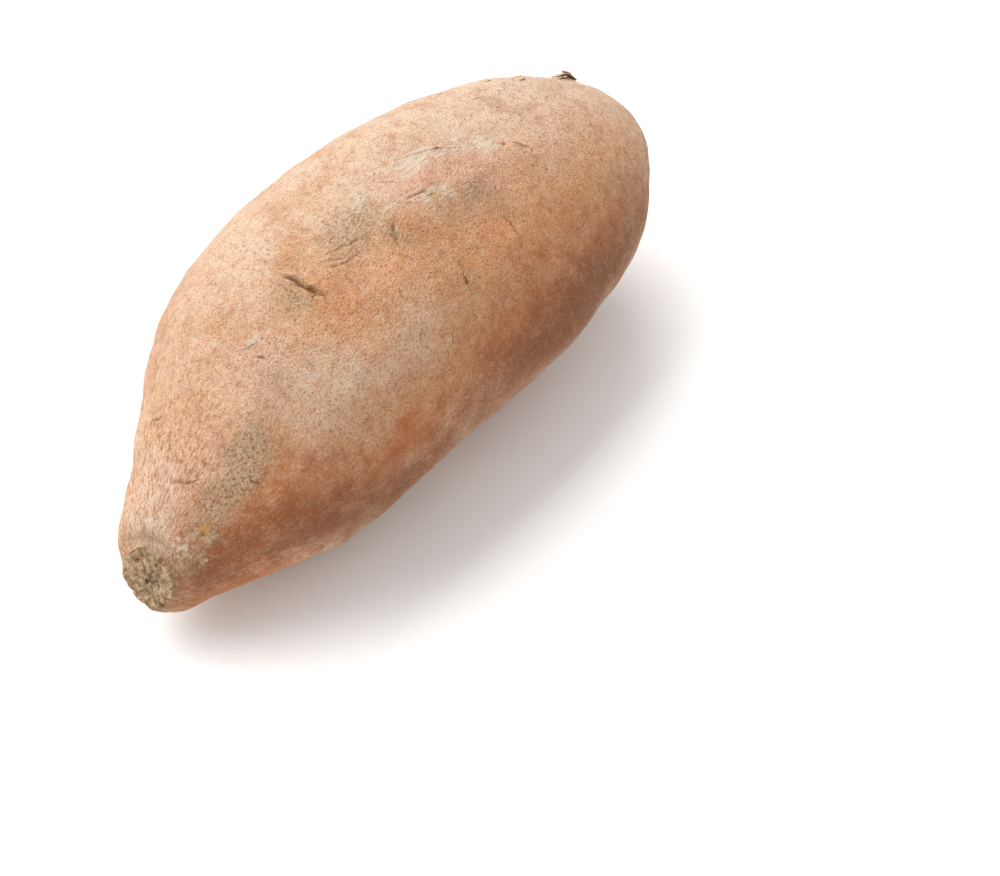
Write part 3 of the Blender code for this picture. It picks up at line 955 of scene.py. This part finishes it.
class StageSettings(bpy.types.PropertyGroup):
    floor_radius: length_setting("Floor radius", "Reach of the floor", 6000)
    key_power: FloatProperty(
        name="Key power", description="Power of the big softbox", default=27.0, unit="POWER"
    )
    fill: FloatProperty(name="Fill", description="Brightness of the white room", default=0.78)
    turn: FloatProperty(
        name="Camera turn", description="How far the camera stands round the root",
        default=math.radians(-52), subtype="ANGLE",
    )
    tilt: FloatProperty(
        name="Camera tilt", description="How far the camera looks down",
        default=math.radians(52), subtype="ANGLE",
    )
    distance: length_setting("Camera distance", "From the camera to what it aims at", 588.1)


SETTINGS = {"sweet_potato_skin": SkinSettings, "sweet_potato_stage": StageSettings}


# --- Pieces ----------------------------------------------------------------------------------


def finish_piece(piece, material):
    piece.data.materials.clear()
    piece.data.materials.append(material)
    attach(piece, BODY)


class SweetPotatoSkin(bpy.types.Operator):
    """Grows the skin with its folds, creases, scars and soil over the root's solid"""

    bl_idname = "sweet_potato.skin"
    bl_label = "Skin"
    bl_options = {"REGISTER", "UNDO"}

    def execute(self, context):
        settings = context.scene.sweet_potato_skin
        root_map = RootMap(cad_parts[NODE])
        eyes, patches = scattered_marks(settings.seed)
        creases = [*CREASES, *eyes]
        skin = start_from_solid("root_skin")
        cut_finer(skin, root_map, creases)
        lay_bake_map(skin.data, root_map)
        sculpt_skin(skin, root_map, creases, [*PATCHES, *patches], settings)
        select_only(skin)
        bpy.ops.object.shade_smooth()
        colours = {name: getattr(settings, name) for name in settings.bl_rna.properties.keys()
                   if getattr(settings.bl_rna.properties[name], "subtype", "") == "COLOR"}
        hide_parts(NODE)
        finish_piece(skin, skin_material(colours))
        return {"FINISHED"}


class SweetPotatoFlakes(bpy.types.Operator):
    """Lifts thin flakes of skin and crusts of cork at the scars"""

    bl_idname = "sweet_potato.flakes"
    bl_label = "Skin flakes"
    bl_options = {"REGISTER", "UNDO"}

    def execute(self, context):
        skin = bpy.data.objects["root_skin"]
        root_map = RootMap(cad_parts[NODE])
        pattern = model_flake()
        copies = []
        for flake in FLAKES:
            spot = spot_on(skin, root_map, flake.along, flake.around)
            size = (flake.length, flake.width, flake.length * flake.curl / 45)
            copies.append(stand_copy(pattern, spot, flake.heading, -flake.lift, size))
        finish_piece(join_copies(copies, pattern, "skin_flakes"), flake_material())
        return {"FINISHED"}


class SweetPotatoFineRoots(bpy.types.Operator):
    """Grows short dried fine roots from the eyes and scars"""

    bl_idname = "sweet_potato.fine_roots"
    bl_label = "Fine roots"
    bl_options = {"REGISTER", "UNDO"}

    def execute(self, context):
        skin = bpy.data.objects["root_skin"]
        root_map = RootMap(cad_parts[NODE])
        draw = np.random.default_rng(context.scene.sweet_potato_skin.seed + 1)
        eyes, _ = scattered_marks(context.scene.sweet_potato_skin.seed)
        roots = list(FINE_ROOTS)
        for i in range(FINE_ROOTS_ON_HIDDEN_SIDES):
            x, turn = eyes[i % len(eyes)].route[1]
            length, thickness = draw.uniform(0.9, 2.2), draw.uniform(0.11, 0.18)
            heading, lean = draw.uniform(0, 360), draw.uniform(20, 55)
            roots.append(FineRoot(x, turn, length, thickness, heading, lean))
        pattern = model_fine_root()
        copies = []
        for root in roots:
            spot = spot_on(skin, root_map, root.along, root.around)
            if spot[0].z < ROOTS_CLEAR_FLOOR * MM:
                continue
            size = (root.thickness, root.thickness, root.length)
            copies.append(stand_copy(pattern, spot, root.heading, root.lean, size))
        finish_piece(join_copies(copies, pattern, "fine_roots"), dry_fibre_material())
        return {"FINISHED"}


FLOOR_INSET = 0.9  # share of the floor's radius
WHITE = (1.0, 1.0, 1.0, 1.0)
SOFTBOX_AIM = Vector((0.0, 0.0, 0.03))
SOFTBOX_TOWARDS = Vector((0.0, 0.55, 0.83))  # which way it stands from what it lights
SOFTBOX_DISTANCE = 1.3
SOFTBOX_WIDTH, SOFTBOX_DEPTH = 2.2, 0.9
CAMERA_AIM = Vector((12.17, -27.28, -5.63))  # mm
LENS, SENSOR_WIDTH = 85.0, 36.0  # mm


class SweetPotatoStage(bpy.types.Operator):
    """Sets the white floor, the soft light and the camera"""

    bl_idname = "sweet_potato.stage"
    bl_label = "Stage"
    bl_options = {"REGISTER", "UNDO"}

    def execute(self, context):
        settings = context.scene.sweet_potato_stage
        self.lay_floor(settings)
        self.light_room(context, settings)
        self.stand_camera(context, settings)
        return {"FINISHED"}

    def lay_floor(self, settings):
        bpy.ops.object.select_all(action="DESELECT")
        bpy.ops.mesh.primitive_circle_add(vertices=64, radius=settings.floor_radius, fill_type="NGON")
        floor = bpy.context.active_object
        floor.name = "floor"
        bpy.ops.object.mode_set(mode="EDIT")
        bpy.ops.mesh.inset(thickness=settings.floor_radius * FLOOR_INSET)
        bpy.ops.object.mode_set(mode="OBJECT")
        material, _, shader = new_material("matt_white_board")
        shader.inputs["Base Color"].default_value = linear("F8F8F8")
        shader.inputs["Roughness"].default_value = 0.5
        floor.data.materials.append(material)

    def light_room(self, context, settings):
        world = bpy.data.worlds.new("white_room")
        world.use_nodes = True
        room = world.node_tree.nodes["Background"]
        room.inputs["Color"].default_value = WHITE
        room.inputs["Strength"].default_value = settings.fill
        context.scene.world = world
        context.scene.view_settings.view_transform = "Standard"
        place = SOFTBOX_AIM + SOFTBOX_TOWARDS.normalized() * SOFTBOX_DISTANCE
        bpy.ops.object.light_add(type="AREA", location=place)
        key = bpy.context.active_object
        key.name = "softbox"
        key.data.shape = "RECTANGLE"
        key.data.size = SOFTBOX_WIDTH
        key.data.size_y = SOFTBOX_DEPTH
        key.data.energy = settings.key_power
        key.rotation_euler = (SOFTBOX_AIM - place).to_track_quat("-Z", "Y").to_euler()

    def stand_camera(self, context, settings):
        level = math.cos(settings.tilt)
        look = Vector((
            -math.sin(settings.turn) * level,
            math.cos(settings.turn) * level,
            -math.sin(settings.tilt),
        ))
        bpy.ops.object.camera_add(location=CAMERA_AIM * MM - look * settings.distance)
        camera = bpy.context.active_object
        camera.rotation_euler = look.to_track_quat("-Z", "Y").to_euler()
        camera.data.lens = LENS
        camera.data.sensor_width = SENSOR_WIDTH
        camera.data.clip_start = 0.01
        context.scene.camera = camera


OPERATORS = (SweetPotatoSkin, SweetPotatoFlakes, SweetPotatoFineRoots, SweetPotatoStage)


class SweetPotatoPanel(bpy.types.Panel):
    """Lists the pieces of the sweet potato and its stage"""

    bl_idname = "VIEW3D_PT_sweet_potato"
    bl_label = "Sweet Potato"
    bl_space_type = "VIEW_3D"
    bl_region_type = "UI"
    bl_category = "Sweet Potato"

    def draw(self, context):
        for operator in OPERATORS:
            self.layout.operator(operator.bl_idname)
        for name, group in SETTINGS.items():
            box = self.layout.box()
            for setting in group.__annotations__:
                box.prop(getattr(context.scene, name), setting)


CLASSES = (*SETTINGS.values(), *OPERATORS, SweetPotatoPanel)


def register():
    for cls in CLASSES:
        bpy.utils.register_class(cls)
    for name, group in SETTINGS.items():
        setattr(bpy.types.Scene, name, PointerProperty(type=group))


def unregister():
    for name in SETTINGS:
        delattr(bpy.types.Scene, name)
    for cls in reversed(CLASSES):
        bpy.utils.unregister_class(cls)


def main():
    register()
    bpy.ops.sweet_potato.stage()
    bpy.ops.sweet_potato.skin()
    bpy.ops.sweet_potato.flakes()
    bpy.ops.sweet_potato.fine_roots()


if __name__ == "__main__":
    main()
